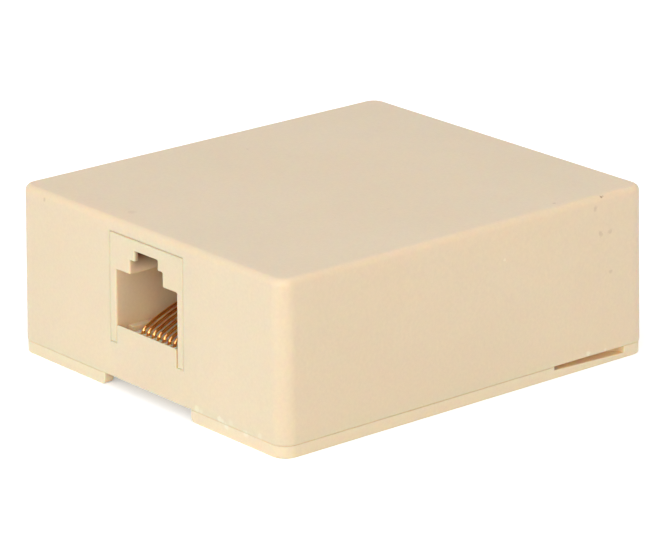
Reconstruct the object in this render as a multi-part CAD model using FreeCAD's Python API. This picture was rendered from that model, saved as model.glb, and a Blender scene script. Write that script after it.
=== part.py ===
# Surface mount jack box: an 8P8C jack and its screw terminals on a base plate, under a cover that
# tilts off about its front lower edge. Millimetres. +X right, +Y to the rear, +Z up; the jack
# faces -Y. Origin: centre of the underside.
import FreeCAD, Part
import math
import os

Vec = FreeCAD.Vector

# ---- Box ----
box_width = 50.8
box_length = 57.2
corner_radius = 2.0
draft = 0.25              # lean of each side wall, bottom to top
skirt_height = 1.6
skirt_inset = 0.06        # skirt stands this far inside the cover's lower edge
skirt_wall = 2.5
foot_wall = 1.3           # skirt's front wall
foot_bevel = 0.12
seam_gap = 0.04
seam_bevel = 0.12         # of the skirt's upper edge

# ---- Cover ----
cover_wall = 1.6
lid_thickness = 1.4
lid_clearance = 0.3       # jack's top to the lid
top_edge_radius = 0.8
lid_rib_width = 1.0
lid_rib_depth = 1.8
lid_rib_inset = 12.9      # rib's middle from the box's side
lid_rib_clear = 3.0       # rib ends to the walls
snap_height = 0.1
snap_length = 8.0
snap_thickness = 0.5
snap_rise = 0.6           # cover's snap ridge above its lower edge
sill_flat = 0.5           # level part of the window sill, front to back
tongue_rise = 0.4         # tongue's top above the opening's floor
tongue_gap = 0.12         # to the jack's legs
tongue_edge = 0.2         # level part of the tongue's top
tongue_round = 0.3

# ---- Base ----
floor_bottom = 1.4
floor_thickness = 1.6
lip_height = 1.4
lip_wall = 1.2
lip_gap = 0.28
lip_radius = 0.8
notch_width = 16.7
foot_radius = 0.8
mount_hole_radius = 2.1
mount_inset = 6.9         # hole's middle from the box's side
mount_front = 9.6         # hole's middle from the box's front
mount_rear = 5.9          # and from its rear
cable_hole_width = 10.0
cable_hole_length = 12.0
cable_hole_behind = 21.6  # hole's middle behind the jack
pry_rear = 9.45           # middle of the pry slot from the box's rear
pry_length = 11.5
pry_height = 0.5          # at the slot's front end
pry_fall = 0.45           # its floor drops this much towards the rear
pry_depth = 1.6
pry_round = 1.5
pad_width = 13.0
pad_length = 28.0
pad_inset = 10.9          # pad's middle from the box's side

# ---- Jack ----
jack_width = 14.0
jack_length = 16.0
jack_roof = 1.4           # above the latch slot
leg_drop = 1.85           # legs' ends below the opening's floor
window_gap = 0.05
groove = 0.12             # bevels of the jack's front edges and of the window round them
opening_width = 11.7
opening_rise = 4.9        # opening's floor above the base's floor
opening_height = 7.3
latch_step_width = 6.26
latch_step_height = 1.8
latch_slot_width = 4.4
latch_slot_height = 1.3
latch_wall = 0.8          # setback of the space that widens behind the latch slot
latch_room = 0.5          # that space above the slot
opening_depth = 13.0
corner_round = 0.15       # opening's lengthwise corners
mouth_round = 0.25
fit_gap = 0.1             # between pieces that sit in one another
stake_radius = 1.2
stake_x = 5.0
stake_setbacks = (6.0, 12.5)
fence_height = 2.4
fence_wall = 1.2
cap_thickness = 1.2
cap_peg_radius = 0.8
cap_peg_x = 4.0
cap_peg_rise = 6.0        # above the opening's floor
cap_peg_length = 1.8

# ---- Contacts ----
contact_count = 8
contact_pitch = 1.016
contact_radius = 0.225
contact_drop = 1.5        # lower leg below the opening's floor
contact_front = 2.3       # setback of the hairpin behind the jack face
contact_bend = 0.85
contact_rise = 27.5       # slope of the upper leg at the hairpin, degrees
contact_rest = 15.0       # slope at the free end, degrees
contact_arch = 27.0
contact_tail = 1.4        # end of the lower leg behind the opening's back
contact_tip = 0.7         # free end behind the opening's back
slot_gap = 0.1            # each side of a contact in its comb slot
carrier_width = 9.4
carrier_rise = 1.0        # above the base's floor
carrier_drop = 0.55       # its top below the opening's floor
comb_slot_depth = 1.2
comb_slot_rise = 0.7      # above the opening's floor
comb_slot_height = 3.8

# ---- Terminals and leads ----
terminals_per_side = 4
terminal_inset = 9.4      # screw's middle from the box's side
terminal_behind = 9.6     # front screw's middle behind the jack
terminal_pitch = 6.6
post_width = 5.8
insert_radius = 1.9
insert_seat = 0.8         # insert's foot above the floor's underside
screw_radius = 1.2
screw_running_gap = 0.05
screw_head_radius = 2.7
screw_head_height = 1.5
screw_slot_width = 0.7
screw_slot_depth = 0.7
screw_tip_gap = 0.4
screw_head_round = 0.4
screw_turn = 35           # driver slot's angle at rest, degrees
lug_thickness = 0.6
lug_width = 5.0
lug_drop = 0.35           # lug plate's middle below the lead's centre
lug_fork_gap = 0.15
lug_overhang = 2.6
lug_neck = 1.3
bond = 0.3                # overlap of two forms that are one moulding or one pressing
barrel_radius = 0.9
barrel_length = 2.2
lead_radius = 0.45
lead_bend = 6.0
lead_grip = 1.8           # length of lead inside its lug
lead_gap = 0.02
lead_colours = ("blue", "orange", "black", "red", "green", "yellow", "brown", "white")

# ---- Worked out ----
half_width = box_width / 2
half_length = box_length / 2
cover_bottom = skirt_height + seam_gap
floor_top = floor_bottom + floor_thickness
opening_floor = floor_top + opening_rise
opening_shoulder = opening_floor + opening_height
latch_step_top = opening_shoulder + latch_step_height
latch_slot_top = latch_step_top + latch_slot_height
jack_top = latch_slot_top + jack_roof
lid_under = jack_top + lid_clearance
box_height = lid_under + lid_thickness
leg_bottom = opening_floor - leg_drop
tongue_top = opening_floor + tongue_rise
inner_front = cover_wall + lip_gap          # setback of what stands just behind the cover's wall
jack_half = jack_width / 2
jack_rear = jack_length + fit_gap / 2       # setback of the cap's front face
cable_hole_setback = jack_length + cable_hole_behind
pry_y = half_length - pry_rear
contact_low = opening_floor - contact_drop
slot_width = 2 * (contact_radius + slot_gap)
channel_top = contact_low + contact_radius + slot_gap / 2
carrier_bottom = floor_top + carrier_rise
carrier_top = opening_floor - carrier_drop
comb_slot_bottom = opening_floor + comb_slot_rise
insert_bottom = floor_bottom + insert_seat
post_top = contact_low - lug_drop - lug_thickness / 2
lug_top = post_top + lug_thickness
terminal_x = half_width - terminal_inset
lug_end = terminal_x - post_width / 2 - lug_neck / 2 - barrel_length    # barrel's open end


def setback(distance):
    """Y of a point this far behind the box's front."""
    return -half_length + distance


def wall_lean(z):
    """How far the box's leaning walls stand in at this height."""
    return draft * (z - cover_bottom) / (box_height - cover_bottom)


def block(x0, x1, y0, y1, z0, z1):
    return Part.makeBox(x1 - x0, y1 - y0, z1 - z0, Vec(x0, y0, z0))


def cylinder(radius, x, y, z0, z1):
    return Part.makeCylinder(radius, z1 - z0, Vec(x, y, z0))


def prism(points, direction):
    """Solid from a closed outline of points, pushed along a vector."""
    return Part.Face(Part.makePolygon(points + points[:1])).extrude(direction)


def rounded_outline(half_x, half_y, radius, z):
    corners = ((1, 1, 0), (-1, 1, 90), (-1, -1, 180), (1, -1, 270))
    arcs = []
    for side_x, side_y, start in corners:
        centre = Vec(side_x * (half_x - radius), side_y * (half_y - radius), z)
        arcs.append(Part.makeCircle(radius, centre, Vec(0, 0, 1), start, start + 90))
    edges = []
    for index, arc in enumerate(arcs):
        after = arcs[(index + 1) % len(arcs)]
        edges.append(arc)
        edges.append(Part.makeLine(arc.Vertexes[1].Point, after.Vertexes[0].Point))
    return Part.Wire(edges)


def slab(half_x, half_y, radius, z0, z1):
    return Part.Face(rounded_outline(half_x, half_y, radius, z0)).extrude(Vec(0, 0, z1 - z0))


def drafted_outline(inset, z):
    """Outline of the box's leaning walls at one height, or of what lies this far inside them."""
    lean = inset + wall_lean(z)
    radius = max(corner_radius - inset, 0.4)
    return rounded_outline(half_width - lean, half_length - lean, radius, z)


def drafted_block(inset, z0, z1):
    return Part.makeLoft([drafted_outline(inset, z0), drafted_outline(inset, z1)], True, True)


def edges_at(shape, height, tolerance=0.01):
    level = []
    for edge in shape.Edges:
        low, high = edge.BoundBox.ZMin, edge.BoundBox.ZMax
        if abs(low - height) < tolerance and abs(high - height) < tolerance:
            level.append(edge)
    return level


def bent_rod(points, bends, radius):
    """Round rod along straight runs joined by tangent arcs, one bend radius at each inner point."""
    edges = []
    start = points[0]
    for index, bend in enumerate(bends, 1):
        before = (points[index - 1] - points[index]).normalize()
        after = (points[index + 1] - points[index]).normalize()
        turn = math.pi - before.getAngle(after)
        reach = bend * math.tan(turn / 2)
        first = points[index] + before * reach
        last = points[index] + after * reach
        centre = points[index] + (before + after).normalize() * (bend / math.cos(turn / 2))
        middle = centre + (points[index] - centre).normalize() * bend
        edges.append(Part.makeLine(start, first))
        edges.append(Part.Arc(first, middle, last).toShape())
        start = last
    edges.append(Part.makeLine(start, points[-1]))
    path = Part.Wire(edges)
    heading = (points[1] - points[0]).normalize()
    section = Part.Wire(Part.makeCircle(radius, points[0], heading))
    rod = path.makePipeShell([section], True, False)
    expected = math.pi * radius ** 2 * path.Length
    print("rod: bends", bends, "volume over section x length", round(rod.Volume / expected, 4))
    return rod


def contact_x(index):
    return (index - (contact_count - 1) / 2) * contact_pitch


# ---- Base ----
def make_base():
    skirt_x = half_width - skirt_inset
    skirt_y = half_length - skirt_inset
    base = slab(skirt_x, skirt_y, corner_radius, 0, skirt_height)
    base = base.makeChamfer(seam_bevel, edges_at(base, skirt_height))
    base = base.makeChamfer(foot_bevel, edges_at(base, 0))
    base = base.fuse(slab(half_width - inner_front, half_length - inner_front,
                          lip_radius, floor_bottom, floor_top + lip_height))
    lip_inner = inner_front + lip_wall
    base = base.cut(slab(half_width - lip_inner, half_length - lip_inner,
                         lip_radius, floor_top, floor_top + lip_height + 1))
    base = base.cut(slab(skirt_x - skirt_wall, skirt_y - skirt_wall, lip_radius, -1, floor_bottom))
    base = base.cut(block(skirt_wall - skirt_x, skirt_x - skirt_wall, setback(skirt_inset + foot_wall),
                          setback(skirt_inset + skirt_wall + lip_radius), -1, floor_bottom))
    base = base.cut(front_notch(skirt_y))
    base = base.cut(block(-jack_half - fit_gap, jack_half + fit_gap,
                          -half_length, setback(jack_length), floor_top, box_height))
    base = base.cut(pry_slot(skirt_x - pry_depth))
    base = base.fuse(jack_fence())
    for x, y in terminal_places():
        base = base.fuse(block(x - post_width / 2, x + post_width / 2,
                               y - post_width / 2, y + post_width / 2, floor_top, post_top))
        base = base.cut(cylinder(insert_radius + screw_running_gap, x, y, insert_bottom, post_top + 1))
    for side in (-1, 1):
        for y in (setback(mount_front), half_length - mount_rear):
            base = base.cut(cylinder(mount_hole_radius, side * (half_width - mount_inset), y,
                                     -1, floor_top + 1))
        for distance in stake_setbacks:
            base = base.cut(cylinder(stake_radius + screw_running_gap, side * stake_x,
                                     setback(distance), -1, floor_top + 1))
        base = base.fuse(snap_bead(side, half_width - inner_front,
                                   floor_top + lip_height - snap_thickness, side))
    base = base.cut(block(-cable_hole_width / 2, cable_hole_width / 2,
                          setback(cable_hole_setback - cable_hole_length / 2),
                          setback(cable_hole_setback + cable_hole_length / 2), -1, floor_top + 1))
    return base.removeSplitter()


def front_notch(skirt_y):
    """Gap through the skirt under the jack, its upright ends rounded at the foot."""
    half = notch_width / 2
    notch = block(-half, half, -half_length - 1, -skirt_y + skirt_wall + bond, -1, floor_bottom)
    notch = notch.fuse(block(-half, half, -half_length - 1, -half_length + inner_front, 0, skirt_height))
    for side in (-1, 1):
        corner = block(-foot_radius, foot_radius, -half_length - 1, -skirt_y + skirt_wall,
                       -foot_radius, foot_radius)
        corner.translate(Vec(side * half, 0, 0))
        rounding = Part.makeCylinder(foot_radius, skirt_wall + 2,
                                     Vec(side * (half + foot_radius), -half_length - 1, foot_radius),
                                     Vec(0, 1, 0))
        notch = notch.fuse(corner.cut(rounding))
    return notch


def pry_slot(inner_x):
    """Slot in the top of the skirt for a screwdriver, its rear inner corner rounded."""
    front = pry_y - pry_length / 2
    end = pry_y + pry_length / 2
    floor = skirt_height - pry_height
    outline = [Vec(inner_x, front, cover_bottom), Vec(inner_x, front, floor),
               Vec(inner_x, end, floor - pry_fall), Vec(inner_x, end, cover_bottom)]
    slot = prism(outline, Vec(half_width + 1 - inner_x, 0, 0))
    corner = [edge for edge in slot.Edges
              if edge.BoundBox.XMax < inner_x + 0.01 and edge.BoundBox.YMin > end - 0.01]
    return slot.makeFillet(pry_round, corner)


def jack_fence():
    """Low walls on the floor that hold the jack at its sides and back."""
    outer = jack_half + fit_gap + fence_wall
    rear = jack_rear + cap_thickness + fit_gap
    fence = block(-outer, outer, setback(inner_front + lip_wall), setback(rear + fence_wall),
                  floor_top, floor_top + fence_height)
    return fence.cut(block(-jack_half - fit_gap, jack_half + fit_gap, setback(0), setback(rear),
                           floor_top - 1, box_height))


def snap_bead(side, wall_x, z, toward):
    """Low ridge along a side wall, triangular in section."""
    y0 = pry_y - snap_length / 2
    face = side * wall_x
    peak = face + toward * snap_height
    root = face - toward * bond / 2
    outline = [Vec(root, y0, z), Vec(face, y0, z), Vec(peak, y0, z + snap_thickness / 2),
               Vec(face, y0, z + snap_thickness), Vec(root, y0, z + snap_thickness)]
    return prism(outline, Vec(0, snap_length, 0))


# ---- Cover ----
def make_cover():
    outer = drafted_block(0, cover_bottom, box_height)
    outer = outer.makeFillet(top_edge_radius, edges_at(outer, box_height))
    cover = outer.cut(drafted_block(cover_wall, cover_bottom - 1, lid_under))
    cover = cover.cut(jack_window())
    for side in (-1, 1):
        rib_x = side * (half_width - lid_rib_inset)
        cover = cover.fuse(block(rib_x - lid_rib_width / 2, rib_x + lid_rib_width / 2,
                                 setback(cover_wall + lid_rib_clear),
                                 half_length - cover_wall - lid_rib_clear,
                                 lid_under - lid_rib_depth, lid_under + bond))
        cover = cover.fuse(snap_bead(side, half_width - cover_wall - snap_height / 4,
                                     cover_bottom + snap_rise, -side))
    return cover.removeSplitter()


def jack_window():
    """Opening that the jack face fills, with the wall's tongue standing up between the jack's legs."""
    half = jack_half + window_gap
    sill = leg_bottom - window_gap
    head = jack_top + window_gap
    depth = cover_wall + draft + 1
    window = block(-half, half, setback(-1), setback(depth), sill, head)
    flare = [window_outline(half, sill, head, groove, 0), window_outline(half, sill, head, 0, groove)]
    window = window.fuse(Part.makeLoft(flare, True, True))
    # behind its level part the sill falls away at 45 degrees, clear of the legs as the cover tilts
    slope = [Vec(-half, setback(sill_flat), sill), Vec(-half, setback(depth), sill),
             Vec(-half, setback(depth), sill - (depth - sill_flat))]
    window = window.fuse(prism(slope, Vec(2 * half, 0, 0)))
    tongue_half = opening_width / 2 - tongue_gap
    tongue = block(-tongue_half, tongue_half, setback(-1), setback(cover_wall), sill - 2, tongue_top)
    corners = [edge for edge in tongue.Edges
               if edge.BoundBox.ZMin > tongue_top - 0.01 and edge.BoundBox.YLength > cover_wall]
    tongue = tongue.makeFillet(tongue_round, corners)
    fall = [Vec(-tongue_half, setback(tongue_edge), tongue_top),
            Vec(-tongue_half, setback(depth), tongue_top),
            Vec(-tongue_half, setback(depth), tongue_top - (depth - tongue_edge))]
    return window.cut(tongue.cut(prism(fall, Vec(2 * tongue_half, 0, 0))))


def window_outline(half, low, high, wider, deeper):
    """Rectangle round the jack in the leaning front wall, made wider by one size or set deeper."""
    low_y = setback(wall_lean(low - wider) + deeper)
    high_y = setback(wall_lean(high + wider) + deeper)
    corners = [Vec(-half - wider, low_y, low - wider), Vec(half + wider, low_y, low - wider),
               Vec(half + wider, high_y, high + wider), Vec(-half - wider, high_y, high + wider)]
    return Part.makePolygon(corners + corners[:1])


# ---- Jack ----
def plug_opening():
    """Space of the plug opening, open to the front, its upper lengthwise corners rounded."""
    half_widths = ((opening_width / 2, opening_floor), (opening_width / 2, opening_shoulder),
                   (latch_step_width / 2, opening_shoulder), (latch_step_width / 2, latch_step_top),
                   (latch_slot_width / 2, latch_step_top), (latch_slot_width / 2, latch_slot_top))
    right = [Vec(x, setback(-1), z) for x, z in half_widths]
    left = [Vec(-x, setback(-1), z) for x, z in reversed(half_widths)]
    space = prism(right + left, Vec(0, opening_depth + 1, 0))
    lengthwise = []
    for edge in space.Edges:
        along = edge.BoundBox.YLength > opening_depth
        if along and edge.BoundBox.ZMin > opening_floor + fit_gap:
            lengthwise.append(edge)
    return space.makeFillet(corner_round, lengthwise)


def mouth_edges(shape):
    """Edges of the plug opening that lie in the jack's front face."""
    chosen = []
    for edge in shape.Edges:
        box = edge.BoundBox
        inside = max(abs(box.XMin), abs(box.XMax)) < opening_width / 2 + 0.01
        low_enough = box.ZMax < latch_slot_top + 0.01
        in_face = box.YMax < setback(draft + 0.05)
        if inside and low_enough and in_face and box.ZMin > leg_bottom + 0.01:
            chosen.append(edge)
    return chosen


def make_housing():
    """Jack body; its face lies in the leaning front wall of the cover."""
    side_view = [(wall_lean(leg_bottom), leg_bottom), (wall_lean(jack_top), jack_top),
                 (jack_length, jack_top), (jack_length, floor_top),
                 (inner_front, floor_top), (inner_front, leg_bottom)]
    outline = [Vec(-jack_half, setback(distance), z) for distance, z in side_view]
    body = prism(outline, Vec(jack_width, 0, 0))
    front = [edge for edge in body.Edges if edge.BoundBox.YMax < setback(draft)]
    body = body.makeChamfer(groove, front)
    body = body.cut(plug_opening())
    body = body.cut(block(-opening_width / 2, opening_width / 2, setback(-1), setback(inner_front),
                          0, opening_floor + fit_gap))
    body = body.makeFillet(mouth_round, mouth_edges(body))
    body = body.cut(block(-latch_step_width / 2, latch_step_width / 2, setback(latch_wall),
                          setback(opening_depth), opening_shoulder + bond, latch_slot_top + latch_room))
    pocket = carrier_width / 2 + fit_gap
    body = body.cut(block(-pocket, pocket, setback(0), setback(jack_length + 1),
                          carrier_bottom - fit_gap, opening_floor + fit_gap))
    for index in range(contact_count):
        x = contact_x(index)
        body = body.cut(block(x - slot_width / 2, x + slot_width / 2, setback(opening_depth - 1),
                              setback(opening_depth + comb_slot_depth),
                              comb_slot_bottom, comb_slot_bottom + comb_slot_height))
    for side in (-1, 1):
        for distance in stake_setbacks:
            body = body.fuse(cylinder(stake_radius, side * stake_x, setback(distance),
                                      floor_bottom, floor_top + bond))
        body = body.cut(cap_peg(side, cap_peg_radius + fit_gap / 2, cap_peg_length + fit_gap))
    return body.removeSplitter()


def cap_peg(side, radius, length):
    return Part.makeCylinder(radius, length + 1, Vec(side * cap_peg_x, setback(jack_rear - length),
                                                     opening_floor + cap_peg_rise), Vec(0, 1, 0))


def make_rear_cap():
    rear = jack_rear + cap_thickness
    cap = block(-jack_half, jack_half, setback(jack_rear), setback(rear), floor_top + fit_gap / 2, jack_top)
    lead_slot = contact_x(contact_count - 1) + lead_radius + fit_gap
    cap = cap.cut(block(-lead_slot, lead_slot, setback(0), setback(rear + 1),
                        contact_low - lead_radius - fit_gap, contact_low + lead_radius + fit_gap))
    for side in (-1, 1):
        cap = cap.fuse(cap_peg(side, cap_peg_radius, cap_peg_length))
    return cap.removeSplitter()


def make_carrier():
    """Block under the plug: the lower legs lie in channels in its underside, its nose is a comb."""
    half = carrier_width / 2
    nose = contact_front + contact_bend - slot_gap
    carrier = block(-half, half, setback(inner_front), setback(opening_depth), carrier_bottom, carrier_top)
    for index in range(contact_count):
        left = contact_x(index) - slot_width / 2
        right = contact_x(index) + slot_width / 2
        carrier = carrier.cut(block(left, right, setback(0), setback(opening_depth + 1),
                                    carrier_bottom - 1, channel_top))
        carrier = carrier.cut(block(left, right, setback(0), setback(nose),
                                    channel_top - bond, carrier_top + 1))
    return carrier


def make_contact(index):
    """One round spring wire: tail, lower leg, hairpin at the front, arched upper leg."""
    x = contact_x(index)
    rise = math.radians(contact_rise)
    rest = math.radians(contact_rest)
    straight = 0.02
    upright = contact_bend * (1 + math.tan((math.pi / 2 - rise) / 2)) + straight
    climb = contact_bend * math.tan((math.pi / 2 - rise) / 2) + straight
    climb += contact_arch * math.tan((rise - rest) / 2)
    arch_y = contact_front + climb * math.cos(rise)
    arch_z = contact_low + upright + climb * math.sin(rise)
    tip = opening_depth + contact_tip
    tip_z = arch_z + (tip - arch_y) * math.tan(rest)
    points = [Vec(x, setback(opening_depth + contact_tail), contact_low),
              Vec(x, setback(contact_front), contact_low),
              Vec(x, setback(contact_front), contact_low + upright),
              Vec(x, setback(arch_y), arch_z),
              Vec(x, setback(tip), tip_z)]
    return bent_rod(points, [contact_bend, contact_bend, contact_arch], contact_radius)


# ---- Terminals ----
def terminal_y(row):
    return setback(jack_length + terminal_behind) + row * terminal_pitch


def terminal_places():
    places = []
    for side in (-1, 1):
        for row in range(terminals_per_side):
            places.append((side * terminal_x, terminal_y(row)))
    return places


def make_insert(x, y):
    bush = cylinder(insert_radius, x, y, insert_bottom, post_top)
    return bush.cut(cylinder(screw_radius + screw_running_gap, x, y, insert_bottom - 1, post_top + 1))


def make_screw(x, y):
    head = cylinder(screw_head_radius, x, y, lug_top, lug_top + screw_head_height)
    head = head.makeFillet(screw_head_round, edges_at(head, lug_top + screw_head_height))
    screw = head.fuse(cylinder(screw_radius, x, y, insert_bottom + screw_tip_gap, lug_top))
    driver_slot = block(-screw_head_radius, screw_head_radius, -screw_slot_width / 2,
                        screw_slot_width / 2, 0, screw_slot_depth + 1)
    driver_slot.rotate(Vec(0, 0, 0), Vec(0, 0, 1), screw_turn)
    driver_slot.translate(Vec(x, y, lug_top + screw_head_height - screw_slot_depth))
    return screw.cut(driver_slot).removeSplitter()


def make_lug(x, y):
    """Spade lug: forked plate under the screw head, barrel crimped on the lead."""
    side = math.copysign(1, x)
    fork = screw_radius + lug_fork_gap
    start = lug_end + barrel_length
    end = terminal_x + lug_overhang
    lug = block(start + lug_neck, end, -lug_width / 2, lug_width / 2, post_top, lug_top)
    lug = lug.fuse(block(start - bond, start + lug_neck + bond, -barrel_radius, barrel_radius,
                         post_top, lug_top))
    lug = lug.cut(block(terminal_x, end + 1, -fork, fork, post_top - 1, lug_top + 1))
    lug = lug.cut(cylinder(fork, terminal_x, 0, post_top - 1, lug_top + 1))
    mouth = Vec(lug_end, 0, contact_low)
    lug = lug.fuse(Part.makeCylinder(barrel_radius, barrel_length, mouth, Vec(1, 0, 0)))
    lug = lug.cut(Part.makeCylinder(lead_radius + lead_gap, lead_grip + lead_gap, mouth, Vec(1, 0, 0)))
    if side < 0:
        lug = lug.mirror(Vec(0, 0, 0), Vec(1, 0, 0))
    lug.translate(Vec(0, y, 0))
    return lug.removeSplitter()


def lead_terminal(index):
    """Terminal that takes this contact's lead: the outermost goes to the front, so none cross."""
    per_side = contact_count // 2
    side = -1 if index < per_side else 1
    row = index if side < 0 else contact_count - 1 - index
    return side, terminal_y(row)


def make_lead(index):
    side, y = lead_terminal(index)
    x = contact_x(index)
    points = [Vec(x, setback(opening_depth + contact_tail), contact_low),
              Vec(x, y, contact_low),
              Vec(side * (lug_end + lead_grip), y, contact_low)]
    return bent_rod(points, [lead_bend], lead_radius)


def make_pad(side):
    x = side * (half_width - pad_inset)
    return block(x - pad_width / 2, x + pad_width / 2, -pad_length / 2, pad_length / 2, 0, floor_bottom)


def make_nodes():
    nodes = {"base": make_base(), "cover": make_cover(), "jack_housing": make_housing(),
             "jack_rear_cap": make_rear_cap(), "contact_carrier": make_carrier()}
    for index in range(contact_count):
        nodes["contact_%d" % (index + 1)] = make_contact(index)
        nodes["lead_" + lead_colours[index]] = make_lead(index)
    for number, (x, y) in enumerate(terminal_places(), 1):
        nodes["terminal_insert_%d" % number] = make_insert(x, y)
        nodes["terminal_screw_%d" % number] = make_screw(x, y)
        nodes["spade_lug_%d" % number] = make_lug(x, y)
    nodes["foam_pad_left"] = make_pad(-1)
    nodes["foam_pad_right"] = make_pad(1)
    return nodes


os.makedirs("parts", exist_ok=True)
for name, shape in make_nodes().items():
    solid = shape.Solids[0]
    if not shape.isValid() or len(shape.Solids) != 1:
        print("CHECK", name, "valid", shape.isValid(), "solids", len(shape.Solids))
    solid.exportStep("parts/%s.step" % name)
print("done")
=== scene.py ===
import bpy
import math
from mathutils import Matrix, Vector


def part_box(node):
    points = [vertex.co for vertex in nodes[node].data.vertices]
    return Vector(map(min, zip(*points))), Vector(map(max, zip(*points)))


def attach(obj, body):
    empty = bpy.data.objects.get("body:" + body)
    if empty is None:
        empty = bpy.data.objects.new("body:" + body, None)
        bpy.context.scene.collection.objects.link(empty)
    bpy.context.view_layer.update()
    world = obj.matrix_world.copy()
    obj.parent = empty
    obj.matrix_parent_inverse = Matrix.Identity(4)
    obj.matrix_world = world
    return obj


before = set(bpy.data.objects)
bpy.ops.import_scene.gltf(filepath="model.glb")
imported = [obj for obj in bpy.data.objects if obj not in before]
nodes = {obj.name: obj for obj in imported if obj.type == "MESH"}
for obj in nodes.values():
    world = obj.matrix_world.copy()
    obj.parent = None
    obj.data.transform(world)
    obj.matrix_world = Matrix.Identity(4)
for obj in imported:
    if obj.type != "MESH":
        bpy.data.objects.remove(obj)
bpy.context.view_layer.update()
print("frame loaded:", len(nodes), "nodes")


# direction out from the object, in degrees round from straight on the jack face and degrees up
def makeFacing(azimuth, elevation):
    azimuth = math.radians(azimuth)
    elevation = math.radians(elevation)
    return Vector((math.sin(azimuth) * math.cos(elevation),
                   -math.cos(azimuth) * math.cos(elevation), math.sin(elevation)))


def placeObject(name, data):
    placed = bpy.data.objects.new(name, data)
    bpy.context.scene.collection.objects.link(placed)
    return placed


cameraView = {
    "azimuth": 50.277,
    "elevation": 18.552,
    "roll": -0.427,
    "distance": 0.50155,   # lens to the middle of the view
    "raise": 0.00891,      # middle of the view above the underside, along the picture's upright
    "lens": 221.45,        # mm
    "sensor": 36,          # mm across
    "clip": (0.01, 20),
}


def makeCamera(view):
    azimuth = math.radians(view["azimuth"])
    roll = math.radians(view["roll"])
    back = makeFacing(view["azimuth"], view["elevation"])
    level = Vector((math.cos(azimuth), math.sin(azimuth), 0))
    upright = back.cross(level)
    right = level * math.cos(roll) + upright * math.sin(roll)
    up = upright * math.cos(roll) - level * math.sin(roll)
    data = bpy.data.cameras.new("camera")
    data.lens = view["lens"]
    data.sensor_width = view["sensor"]
    data.sensor_fit = "HORIZONTAL"
    data.clip_start, data.clip_end = view["clip"]
    camera = placeObject("camera", data)
    place = up * view["raise"] + back * view["distance"]
    turn = Matrix((right, up, back)).transposed().to_4x4()
    camera.matrix_world = Matrix.Translation(place) @ turn
    bpy.context.scene.camera = camera


makeCamera(cameraView)


# short forms for building node trees
def startMaterial(name):
    material = bpy.data.materials.new(name)
    material.use_nodes = True
    shader = material.node_tree.nodes["Principled BSDF"]
    return material, material.node_tree, shader


def addNode(tree, kind, inputs=None, **settings):
    node = tree.nodes.new(kind)
    for key, value in settings.items():
        setattr(node, key, value)
    for key, value in (inputs or {}).items():
        if isinstance(value, bpy.types.NodeSocket):
            tree.links.new(value, node.inputs[key])
        else:
            node.inputs[key].default_value = value
    return node


def objectPlace(tree, scale=(1, 1, 1), shift=(0, 0, 0)):
    coordinates = addNode(tree, "ShaderNodeTexCoord")
    mapping = addNode(tree, "ShaderNodeMapping", {"Vector": coordinates.outputs["Object"],
                                                  "Location": shift, "Scale": scale})
    return mapping.outputs["Vector"]


def noise(tree, place, scale, detail=3, roughness=0.5):
    node = addNode(tree, "ShaderNodeTexNoise", {"Vector": place, "Scale": scale, "Detail": detail,
                                                "Roughness": roughness})
    return node.outputs["Fac"]


def spread(tree, value, low, high, outLow, outHigh):
    node = addNode(tree, "ShaderNodeMapRange", {"Value": value, "From Min": low, "From Max": high,
                                                "To Min": outLow, "To Max": outHigh})
    return node.outputs["Result"]


def math2(tree, operation, first, second):
    node = addNode(tree, "ShaderNodeMath", {0: first, 1: second}, operation=operation)
    return node.outputs["Value"]


def mixColour(tree, amount, first, second, blend="MIX"):
    node = addNode(tree, "ShaderNodeMix", data_type="RGBA", blend_type=blend, clamp_result=True)
    for index, value in ((0, amount), (6, first), (7, second)):
        if isinstance(value, bpy.types.NodeSocket):
            tree.links.new(value, node.inputs[index])
        else:
            node.inputs[index].default_value = value
    return node.outputs[2]


def bump(tree, height, strength, distance, under=None):
    inputs = {"Height": height, "Strength": strength, "Distance": distance}
    if under:
        inputs["Normal"] = under
    return addNode(tree, "ShaderNodeBump", inputs).outputs["Normal"]


def linear(red, green, blue):
    parts = []
    for value in (red, green, blue):
        value = value / 255
        parts.append(value / 12.92 if value <= 0.04045 else ((value + 0.055) / 1.055) ** 2.4)
    return (*parts, 1)


def paint(material, *names):
    for name in names:
        mesh = nodes[name].data
        mesh.materials.clear()
        mesh.materials.append(material)


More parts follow.
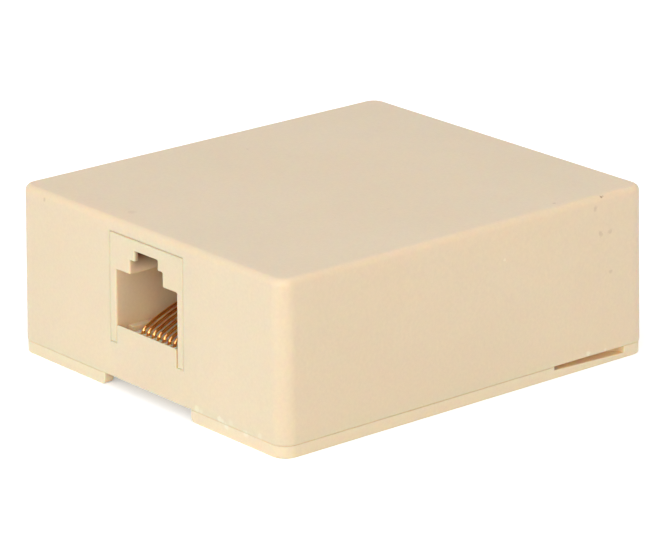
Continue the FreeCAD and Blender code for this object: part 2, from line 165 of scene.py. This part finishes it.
# the ivory mouldings, each a slightly different batch of the same plastic; the base's lighter tone is also
# painted light, for the floor's bounce on its skirt, and the carrier's whiter tone is partly its own plastic
# and partly painted light, for light reaching under the contacts
ivoryTones = {
    "cover": linear(228, 210, 180),
    # painted light: the base is set lighter for the floor's bounce on its skirt
    "base": linear(239, 217, 186),
    "jack": linear(229, 211, 180),
    # partly a whiter plastic, partly painted light for light reaching under the contacts
    "carrier": linear(234, 224, 206),
}
ivoryFinish = {
    "cloudScale": 55,      # broad unevenness of the colour
    "cloudDepth": 0.035,
    "driftScale": 0.6,     # a second unevenness, towards a warmer tone; scale as a share of the clouds'
    "driftShift": (0.3, 0.1, 0.7),
    "driftDepth": 0.6,
    "warmth": (1, 0.975, 0.94),
    "grainScale": 2600,
    "grainDepth": 0.03,
    "grainLift": 0.4,      # how much of that depth the grain also lightens by
    "speckScale": 160,     # a few dark specks moulded in
    "speckSize": 0.05,
    "speckShare": 0.93,
    "speckStrength": 0.4,
    "speckTone": linear(150, 118, 84),
    "paleMarkTone": linear(250, 240, 218),
    "markEdge": 0.00014,   # raggedness of the marks' outlines
    "markReach": (0.0004, 0.001),    # where a mark begins to fade and is gone, for 1 mm of reach
    # reach and samples of the painted crevice light and shade
    "paintedCreviceReach": {"cover": 0.0015, "base": 0.0015, "jack": 0.006, "carrier": 0.002},
    "paintedCreviceSamples": 8,
    "roughness": 0.36,
    "roughnessSwing": 0.05,
    "peelScale": 900,      # slight orange peel
    "peelDepth": 0.00003,
    "grainRelief": 0.00001,
    "reliefStrength": 0.25,
    "body": {"IOR": 1.5, "Specular IOR Level": 0.5, "Subsurface Weight": 0.75,
             "Subsurface Radius": (1.0, 0.45, 0.2), "Subsurface Scale": 0.0014},
}
# painted light and shade in crevices: closed-in places are lifted and warmed as painted light, standing in
# for light passing through thin ivory; the jack's depths are painted darker, as painted shade
paintedCreviceLightAndShade = {
    "shell": ((0.0, (1.35, 1.2, 1.08, 1)), (0.3, (1.15, 1.03, 0.93, 1)), (0.7, (1, 1, 1, 1))),
    "jack": ((0.05, (0.75, 0.55, 0.45, 1)), (0.2, (1.06, 0.9, 0.8, 1)), (0.42, (1.15, 1.03, 0.97, 1)),
             (0.8, (1, 1, 1, 1))),
}
# place of each mark in mm, its reach in mm and its strength
paleMarks = (
    (9.6, -28.6, 1.96, 0.55, 0.42), (10.4, -28.6, 1.9, 0.4, 0.24), (13.8, -28.6, 1.92, 0.5, 0.48),
    (14.3, -28.6, 1.75, 0.4, 0.42), (15.0, -28.54, 1.38, 0.5, 0.48), (15.9, -28.6, 2.0, 0.6, 0.21),
    (18.6, -28.54, 1.46, 0.55, 0.42), (21.2, -28.6, 1.95, 0.5, 0.24), (25.4, 18.9, 1.97, 0.42, 0.54),
    (25.2, 21.7, 1.8, 0.36, 0.48), (25.2, 5.4, 16.8, 0.2, 0.36),
)
darkMarks = (
    (24.92, 21.2, 21.16, 0.26, 0.8), (23.56, 14.71, 21.4, 0.26, 0.35), (12.22, -1.5, 21.4, 0.22, 0.35),
    (10.63, -8.4, 21.4, 0.2, 0.3), (-6.76, -25.13, 21.4, 0.75, 0.12), (-19.9, -28.35, 20.5, 0.3, 0.25),
    (-17.95, 1.28, 21.4, 0.3, 0.2), (25.2, 20.9, 16.7, 0.45, 0.2), (25.2, 22.3, 16.7, 0.45, 0.2),
    (25.25, 22.6, 11.6, 0.35, 0.2), (25.17, 19.9, 20.0, 0.4, 0.2),
)


def makeMarks(tree, place, marks, finish):
    edge = finish["markEdge"]
    near, far = finish["markReach"]
    ragged = spread(tree, noise(tree, place, finish["grainScale"], 2, 0.6), 0.3, 0.7, -edge, edge)
    total = 0.0
    for x, y, z, reach, strength in marks:
        away = addNode(tree, "ShaderNodeVectorMath", {0: place, 1: (x / 1000, y / 1000, z / 1000)},
                       operation="DISTANCE").outputs["Value"]
        away = math2(tree, "ADD", away, ragged)
        mark = spread(tree, away, reach * near, reach * far, strength, 0)
        total = math2(tree, "MAXIMUM", mark, total)
    return total


# paints light and shade into the colour by how closed-in each place is
def paintCreviceLightAndShade(tree, colour, reach, samples, tones):
    shade = addNode(tree, "ShaderNodeAmbientOcclusion", {"Distance": reach}, samples=samples)
    ramp = addNode(tree, "ShaderNodeValToRGB", {"Fac": shade.outputs["AO"]})
    stops = ramp.color_ramp.elements
    while len(stops) < len(tones):
        stops.new(0.5)
    for stop, (position, tone) in zip(stops, tones):
        stop.position = position
        stop.color = tone
    return mixColour(tree, 1, colour, ramp.outputs["Color"], "MULTIPLY")


# painted shade: the space behind the latch slot opens into the box, and its walls are painted dark for the
# shade there
paintedLatchShade = {
    "setback": (0.0003, 0.0012),   # behind the jack's face, where the shade begins and is full
    "height": (0.0156, 0.0175),
    "tone": (0.22, 0.1, 0.08, 1),
    "halfWidth": 0.0045,
    "roof": 0.0192,                # the jack's own top, above this, is not shaded
    "rear": 0.012,
}


# paints shade into the jack's colour behind its latch slot
def paintLatchShade(tree, colour, shade):
    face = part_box("jack_housing")[0][1]
    parts = addNode(tree, "ShaderNodeSeparateXYZ", {"Vector": objectPlace(tree)})
    near, far = shade["setback"]
    deep = spread(tree, parts.outputs["Y"], face + near, face + far, 0, 1)
    amount = math2(tree, "MULTIPLY", deep, spread(tree, parts.outputs["Z"], *shade["height"], 0, 1))
    across = addNode(tree, "ShaderNodeMath", {0: parts.outputs["X"]}, operation="ABSOLUTE").outputs[0]
    for value, limit in ((across, shade["halfWidth"]), (parts.outputs["Z"], shade["roof"]),
                         (parts.outputs["Y"], face + shade["rear"])):
        amount = math2(tree, "MULTIPLY", amount, math2(tree, "LESS_THAN", value, limit))
    return mixColour(tree, amount, colour, mixColour(tree, 1, colour, shade["tone"], "MULTIPLY"))


def makeIvory(batch, finish):
    material, tree, shader = startMaterial(batch + "Ivory")
    tone = ivoryTones[batch]
    place = objectPlace(tree)
    clouds = noise(tree, place, finish["cloudScale"], 4, 0.55)
    grain = noise(tree, place, finish["grainScale"], 2, 0.6)
    dark = [part * (1 - finish["cloudDepth"]) for part in tone[:3]] + [1]
    warm = [part * share for part, share in zip(tone, finish["warmth"])] + [1]
    colour = mixColour(tree, spread(tree, clouds, 0.35, 0.65, 0, 1), tone, dark)
    drift = noise(tree, objectPlace(tree, shift=finish["driftShift"]),
                  finish["cloudScale"] * finish["driftScale"], 3, 0.5)
    colour = mixColour(tree, spread(tree, drift, 0.4, 0.7, 0, finish["driftDepth"]), colour, warm)
    fine = spread(tree, grain, 0.3, 0.7, 1 - finish["grainDepth"],
                  1 + finish["grainDepth"] * finish["grainLift"])
    colour = mixColour(tree, 1, colour, fine, "MULTIPLY")
    cells = addNode(tree, "ShaderNodeTexVoronoi", {"Vector": place, "Scale": finish["speckScale"]})
    near = spread(tree, cells.outputs["Distance"], finish["speckSize"] * 0.5, finish["speckSize"], 1, 0)
    chosen = addNode(tree, "ShaderNodeSeparateColor", {"Color": cells.outputs["Color"]})
    rare = math2(tree, "GREATER_THAN", chosen.outputs["Red"], finish["speckShare"])
    speck = math2(tree, "MULTIPLY", math2(tree, "MULTIPLY", near, rare), finish["speckStrength"])
    colour = mixColour(tree, speck, colour, finish["speckTone"])
    colour = mixColour(tree, makeMarks(tree, place, darkMarks, finish), colour, finish["speckTone"])
    # painted light and shade in crevices
    tones = paintedCreviceLightAndShade["jack" if batch == "jack" else "shell"]
    colour = paintCreviceLightAndShade(tree, colour, finish["paintedCreviceReach"][batch], finish["paintedCreviceSamples"], tones)
    # painted shade behind the jack's latch slot
    if batch == "jack":
        colour = paintLatchShade(tree, colour, paintedLatchShade)
    # pale spots at the listed places
    colour = mixColour(tree, makeMarks(tree, place, paleMarks, finish), colour, finish["paleMarkTone"])
    tree.links.new(colour, shader.inputs["Base Color"])
    sheen = spread(tree, clouds, 0.3, 0.7, finish["roughness"] - finish["roughnessSwing"],
                   finish["roughness"] + finish["roughnessSwing"])
    tree.links.new(sheen, shader.inputs["Roughness"])
    for socket, value in finish["body"].items():
        shader.inputs[socket].default_value = value
    peel = noise(tree, place, finish["peelScale"], 2, 0.5)
    rounded = bump(tree, peel, finish["reliefStrength"], finish["peelDepth"])
    tree.links.new(bump(tree, grain, finish["reliefStrength"], finish["grainRelief"], rounded),
                   shader.inputs["Normal"])
    return material


paint(makeIvory("cover", ivoryFinish), "cover")
paint(makeIvory("base", ivoryFinish), "base")
paint(makeIvory("jack", ivoryFinish), "jack_housing", "jack_rear_cap")
paint(makeIvory("carrier", ivoryFinish), "contact_carrier")
print("ivory mouldings painted")


# plated contacts, brass inserts, bare copper strands and tinned lugs
metalFinishes = {
    "gold": {"tone": linear(250, 196, 128), "other": linear(238, 168, 96), "roughness": 0.12,
             "scratchScale": (9000, 400, 400)},
    "brass": {"tone": linear(205, 170, 98), "other": linear(176, 138, 72), "roughness": 0.3,
              "scratchScale": (700, 700, 5000)},
    "copper": {"tone": linear(214, 132, 92), "other": linear(186, 104, 70), "roughness": 0.28,
               "scratchScale": (400, 3000, 3000)},
    "tin": {"tone": linear(206, 204, 198), "other": linear(178, 176, 170), "roughness": 0.34,
            "scratchScale": (500, 3000, 1200)},
}
metalWear = {"stainScale": 600, "roughnessSwing": (-0.07, 0.1), "scratchDepth": 0.00001}
# the zinc-plated screws, with rings from turning round each one's middle
steelFinish = {
    "tone": linear(202, 200, 190),
    "other": linear(182, 178, 160),
    "roughness": (0.24, 0.4),
    "hazeScale": 500,
    "ringScale": 900,
    "ringDistortion": 1.5,
    "ringDepth": 0.00001,
}


def makeMetal(name, finish, wear):
    material, tree, shader = startMaterial(name)
    marks = noise(tree, objectPlace(tree, finish["scratchScale"]), 1, 4, 0.6)
    stain = noise(tree, objectPlace(tree), wear["stainScale"], 3, 0.5)
    colour = mixColour(tree, spread(tree, stain, 0.35, 0.7, 0, 1), finish["tone"], finish["other"])
    tree.links.new(colour, shader.inputs["Base Color"])
    low, high = (finish["roughness"] + swing for swing in wear["roughnessSwing"])
    tree.links.new(spread(tree, marks, 0.3, 0.7, low, high), shader.inputs["Roughness"])
    shader.inputs["Metallic"].default_value = 1
    tree.links.new(bump(tree, marks, 0.3, wear["scratchDepth"]), shader.inputs["Normal"])
    return material


def makeTurnedSteel(name, centre, finish):
    material, tree, shader = startMaterial(name)
    place = objectPlace(tree, shift=(-centre[0], -centre[1], 0))
    rings = addNode(tree, "ShaderNodeTexWave",
                    {"Vector": place, "Scale": finish["ringScale"], "Distortion": finish["ringDistortion"],
                     "Detail": 2}, wave_type="RINGS", rings_direction="Z")
    haze = noise(tree, place, finish["hazeScale"], 4, 0.6)
    colour = mixColour(tree, spread(tree, haze, 0.3, 0.7, 0, 1), finish["tone"], finish["other"])
    tree.links.new(colour, shader.inputs["Base Color"])
    tree.links.new(spread(tree, haze, 0.3, 0.7, *finish["roughness"]), shader.inputs["Roughness"])
    shader.inputs["Metallic"].default_value = 1
    tree.links.new(bump(tree, rings.outputs["Fac"], 0.25, finish["ringDepth"]), shader.inputs["Normal"])
    return material


gold = makeMetal("contactGold", metalFinishes["gold"], metalWear)
brass = makeMetal("insertBrass", metalFinishes["brass"], metalWear)
tin = makeMetal("lugTin", metalFinishes["tin"], metalWear)
terminalCount = sum(1 for name in nodes if name.startswith("terminal_screw_"))
for number in range(1, terminalCount + 1):
    low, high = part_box("terminal_screw_%d" % number)
    middle = [(low[axis] + high[axis]) / 2 for axis in range(2)]
    paint(makeTurnedSteel("screwSteel%d" % number, middle, steelFinish), "terminal_screw_%d" % number)
    paint(gold, "contact_%d" % number)
    paint(brass, "terminal_insert_%d" % number)
    paint(tin, "spade_lug_%d" % number)
print("metal painted:", terminalCount, "terminals")


# insulation of the eight leads, and the foam tape under the base
leadTones = {
    "blue": linear(40, 78, 172), "orange": linear(226, 116, 40), "black": linear(34, 33, 34),
    "red": linear(188, 38, 34), "green": linear(38, 124, 62), "yellow": linear(232, 200, 62),
    "brown": linear(110, 68, 42), "white": linear(228, 226, 218),
}
leadFinish = {
    "cloudScale": 700,
    "cloudShade": 0.82,
    "roughness": (0.32, 0.46),
    "rippleScale": 2200,
    "rippleDepth": 0.00002,
}
foamFinish = {
    "tone": linear(236, 235, 228),
    "other": linear(220, 218, 208),
    "cloudScale": 260,
    "cellScale": 2400,
    "cellShade": 0.86,
    "cellDepth": 0.00006,
    "roughness": (0.75, 0.9),
}


def makeInsulation(name, tone, finish):
    material, tree, shader = startMaterial(name)
    cloud = noise(tree, objectPlace(tree), finish["cloudScale"], 3, 0.5)
    dull = [part * finish["cloudShade"] for part in tone[:3]] + [1]
    tree.links.new(mixColour(tree, spread(tree, cloud, 0.3, 0.7, 0, 1), tone, dull),
                   shader.inputs["Base Color"])
    tree.links.new(spread(tree, cloud, 0.3, 0.7, *finish["roughness"]), shader.inputs["Roughness"])
    ripple = noise(tree, objectPlace(tree), finish["rippleScale"], 2, 0.5)
    tree.links.new(bump(tree, ripple, 0.3, finish["rippleDepth"]), shader.inputs["Normal"])
    return material


def makeFoam(name, finish):
    material, tree, shader = startMaterial(name)
    place = objectPlace(tree)
    cells = addNode(tree, "ShaderNodeTexVoronoi", {"Vector": place, "Scale": finish["cellScale"]})
    cloud = noise(tree, place, finish["cloudScale"], 4, 0.6)
    colour = mixColour(tree, spread(tree, cloud, 0.3, 0.7, 0, 1), finish["tone"], finish["other"])
    # painted shade: the foam's pits, low in the bump, are darkened
    paintedPitShade = spread(tree, cells.outputs["Distance"], 0.1, 0.6, finish["cellShade"], 1)
    tree.links.new(mixColour(tree, 1, colour, paintedPitShade, "MULTIPLY"), shader.inputs["Base Color"])
    tree.links.new(spread(tree, cloud, 0.3, 0.7, *finish["roughness"]), shader.inputs["Roughness"])
    tree.links.new(bump(tree, cells.outputs["Distance"], 0.6, finish["cellDepth"]), shader.inputs["Normal"])
    return material


for colourName, tone in leadTones.items():
    paint(makeInsulation("lead%s" % colourName.capitalize(), tone, leadFinish), "lead_" + colourName)
paint(makeFoam("foamTape", foamFinish), "foam_pad_left", "foam_pad_right")
print("leads and foam painted")


# bare copper strands of each lead, showing past the barrel of its lug
strandBundle = {
    "radius": 0.00012,
    "length": 0.0009,      # half of it inside the barrel
    "unevenness": 0.2,     # share by which a strand is longer or shorter than that
    "around": 6,           # strands round the middle one
    "spacing": 2.05,       # from strand to strand, in radii
    "sides": 12,
    "seed": 7,
    "settle": 3.1,         # height of the middle strand above the plate, in radii
    "plateDrop": 0.00095,  # a lug's plate, on which they lie, below the top of its barrel
    "barrelTop": 0.0003,   # depth of the barrel's upper part, which reaches above the plate
}
strandInputs = {
    "Radius": "NodeSocketFloat",
    "Length": "NodeSocketFloat",
    "Spacing": "NodeSocketFloat",
    "Unevenness": "NodeSocketFloat",
    "Around": "NodeSocketInt",
    "Sides": "NodeSocketInt",
    "Seed": "NodeSocketInt",
}


def makeStrandPoints(bundle):
    places = []
    for number in range(1, terminalCount + 1):
        lug = nodes["spade_lug_%d" % number]
        low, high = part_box(lug.name)
        side = 1 if low[0] + high[0] > 0 else -1
        corners = [lug.matrix_world @ corner.co for corner in lug.data.vertices]
        reach = max(side * corner.x for corner in corners if corner.z > high[2] - bundle["barrelTop"])
        places.append((side * reach, (low[1] + high[1]) / 2,
                       high[2] - bundle["plateDrop"] + bundle["settle"] * bundle["radius"]))
    mesh = bpy.data.meshes.new("lead_strands")
    mesh.from_pydata(places, [], [])
    return placeObject("lead_strands", mesh)


def makeStrandTree(material):
    tree = bpy.data.node_groups.new("leadStrands", "GeometryNodeTree")
    tree.interface.new_socket("Places", in_out="INPUT", socket_type="NodeSocketGeometry")
    sockets = {name: tree.interface.new_socket(name, in_out="INPUT", socket_type=kind).identifier
               for name, kind in strandInputs.items()}
    tree.interface.new_socket("Strands", in_out="OUTPUT", socket_type="NodeSocketGeometry")
    given = tree.nodes.new("NodeGroupInput").outputs
    spacing = math2(tree, "MULTIPLY", given["Radius"], given["Spacing"])
    ring = addNode(tree, "GeometryNodeMeshCircle", {"Vertices": given["Around"], "Radius": spacing})
    middle = addNode(tree, "GeometryNodeMeshLine", {"Count": 1})
    pattern = tree.nodes.new("GeometryNodeJoinGeometry")
    for part in (ring, middle):
        tree.links.new(part.outputs[0], pattern.inputs[0])
    strand = addNode(tree, "GeometryNodeMeshCylinder", {"Vertices": given["Sides"],
                                                        "Radius": given["Radius"],
                                                        "Depth": given["Length"]})
    high = math2(tree, "ADD", 1, given["Unevenness"])
    low = math2(tree, "SUBTRACT", 1, given["Unevenness"])
    stretch = addNode(tree, "FunctionNodeRandomValue", data_type="FLOAT")
    for name, value in (("Min", low), ("Max", high), ("Seed", given["Seed"])):
        socket = [item for item in stretch.inputs if item.name == name and item.enabled][0]
        tree.links.new(value, socket)
    stretched = [item for item in stretch.outputs if item.enabled][0]
    scale = addNode(tree, "ShaderNodeCombineXYZ", {"X": 1, "Y": 1, "Z": stretched}).outputs[0]
    across = addNode(tree, "ShaderNodeSeparateXYZ",
                     {"Vector": tree.nodes.new("GeometryNodeInputPosition").outputs[0]}).outputs["X"]
    turn = math2(tree, "MULTIPLY", addNode(tree, "ShaderNodeMath", {0: across}, operation="SIGN").outputs[0],
                 math.pi / 2)
    lying = addNode(tree, "ShaderNodeCombineXYZ", {"Y": turn}).outputs[0]
    # first a bundle's spots at each place, then a strand on each spot
    where = given["Places"]
    for shape, size in ((pattern.outputs[0], None), (strand.outputs["Mesh"], scale)):
        inputs = {"Points": where, "Instance": shape, "Rotation": lying}
        if size:
            inputs["Scale"] = size
        where = addNode(tree, "GeometryNodeRealizeInstances",
                        {0: addNode(tree, "GeometryNodeInstanceOnPoints", inputs).outputs[0]}).outputs[0]
    finished = addNode(tree, "GeometryNodeSetMaterial", {"Geometry": where, "Material": material})
    tree.links.new(finished.outputs[0], tree.nodes.new("NodeGroupOutput").inputs[0])
    return tree, sockets


def makeStrands(bundle, material):
    strands = makeStrandPoints(bundle)
    tree, sockets = makeStrandTree(material)
    modifier = strands.modifiers.new("strands", "NODES")
    modifier.node_group = tree
    for name, identifier in sockets.items():
        modifier[identifier] = bundle[name.lower()]
    bpy.context.view_layer.update()
    shaped = strands.evaluated_get(bpy.context.evaluated_depsgraph_get())
    finished = bpy.data.meshes.new_from_object(shaped)
    strands.modifiers.remove(modifier)
    strands.data = finished
    finished.name = "lead_strands"
    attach(strands, "box_base")
    return len(finished.vertices)


copper = makeMetal("strandCopper", metalFinishes["copper"], metalWear)
print("lead strands:", makeStrands(strandBundle, copper), "corners")


# floor, soft lamps and a white surround
studio = {
    "floorSize": 4.0,
    "floorTone": 0.92,
    "floorRoughness": 0.9,
    "floorLift": 0.37,     # what the camera sees added to the floor's own light
    "worldStrength": 0.62,
    "lampAim": (0, 0, 0.01),
}
lamps = {
    "key": {"azimuth": 22, "elevation": 34, "distance": 0.72, "size": (0.5, 0.4), "power": 1.48,
            "tone": (0.87, 1.02, 1.08)},
    "low": {"azimuth": 16, "elevation": 5, "distance": 0.6, "size": (0.05, 0.05), "power": 0.28,
            "tone": (0.95, 1, 1)},
    "top": {"azimuth": 30, "elevation": 80, "distance": 0.8, "size": (0.7, 0.7), "power": 1.62,
            "tone": (1.06, 0.93, 1)},
    "side": {"azimuth": 60, "elevation": 12, "distance": 0.75, "size": (0.2, 0.14), "power": 0.78,
             "tone": (1, 0.8, 0.58)},
}


def makeFloor(setup):
    half = setup["floorSize"] / 2
    mesh = bpy.data.meshes.new("floor")
    corners = [(-half, -half, 0), (half, -half, 0), (half, half, 0), (-half, half, 0)]
    mesh.from_pydata(corners, [], [(0, 1, 2, 3)])
    floor = placeObject("floor", mesh)
    material, tree, shader = startMaterial("floorPaper")
    tone = setup["floorTone"]
    shader.inputs["Base Color"].default_value = (tone, tone, tone, 1)
    shader.inputs["Roughness"].default_value = setup["floorRoughness"]
    rays = addNode(tree, "ShaderNodeLightPath")
    seen = math2(tree, "MAXIMUM", rays.outputs["Is Camera Ray"], rays.outputs["Is Glossy Ray"])
    seen = math2(tree, "MAXIMUM", seen, rays.outputs["Is Transmission Ray"])
    lift = math2(tree, "MULTIPLY", seen, setup["floorLift"])
    glow = addNode(tree, "ShaderNodeEmission", {"Color": (1, 1, 1, 1), "Strength": lift})
    both = addNode(tree, "ShaderNodeAddShader", {0: shader.outputs["BSDF"], 1: glow.outputs["Emission"]})
    tree.links.new(both.outputs["Shader"], tree.nodes["Material Output"].inputs["Surface"])
    mesh.materials.append(material)


def makeLamp(name, setup, aim):
    data = bpy.data.lights.new(name, "AREA")
    data.shape = "RECTANGLE"
    data.size, data.size_y = setup["size"]
    data.energy = setup["power"]
    data.color = setup["tone"]
    facing = makeFacing(setup["azimuth"], setup["elevation"])
    turn = facing.to_track_quat("Z", "Y").to_matrix().to_4x4()
    lamp = placeObject(name, data)
    lamp.matrix_world = Matrix.Translation(facing * setup["distance"] + Vector(aim)) @ turn


def makeWorld(strength):
    world = bpy.data.worlds.new("studio")
    bpy.context.scene.world = world
    world.use_nodes = True
    tree = world.node_tree
    background = tree.nodes["Background"]
    background.inputs["Color"].default_value = (1, 1, 1, 1)
    rays = addNode(tree, "ShaderNodeLightPath")
    behind = math2(tree, "MAXIMUM", rays.outputs["Is Camera Ray"], rays.outputs["Is Transmission Ray"])
    tree.links.new(spread(tree, behind, 0, 1, strength, 1), background.inputs["Strength"])


makeFloor(studio)
makeWorld(studio["worldStrength"])
for lampName, lampSetup in lamps.items():
    makeLamp(lampName, lampSetup, studio["lampAim"])
bpy.context.scene.view_settings.view_transform = "Standard"
print("studio ready")
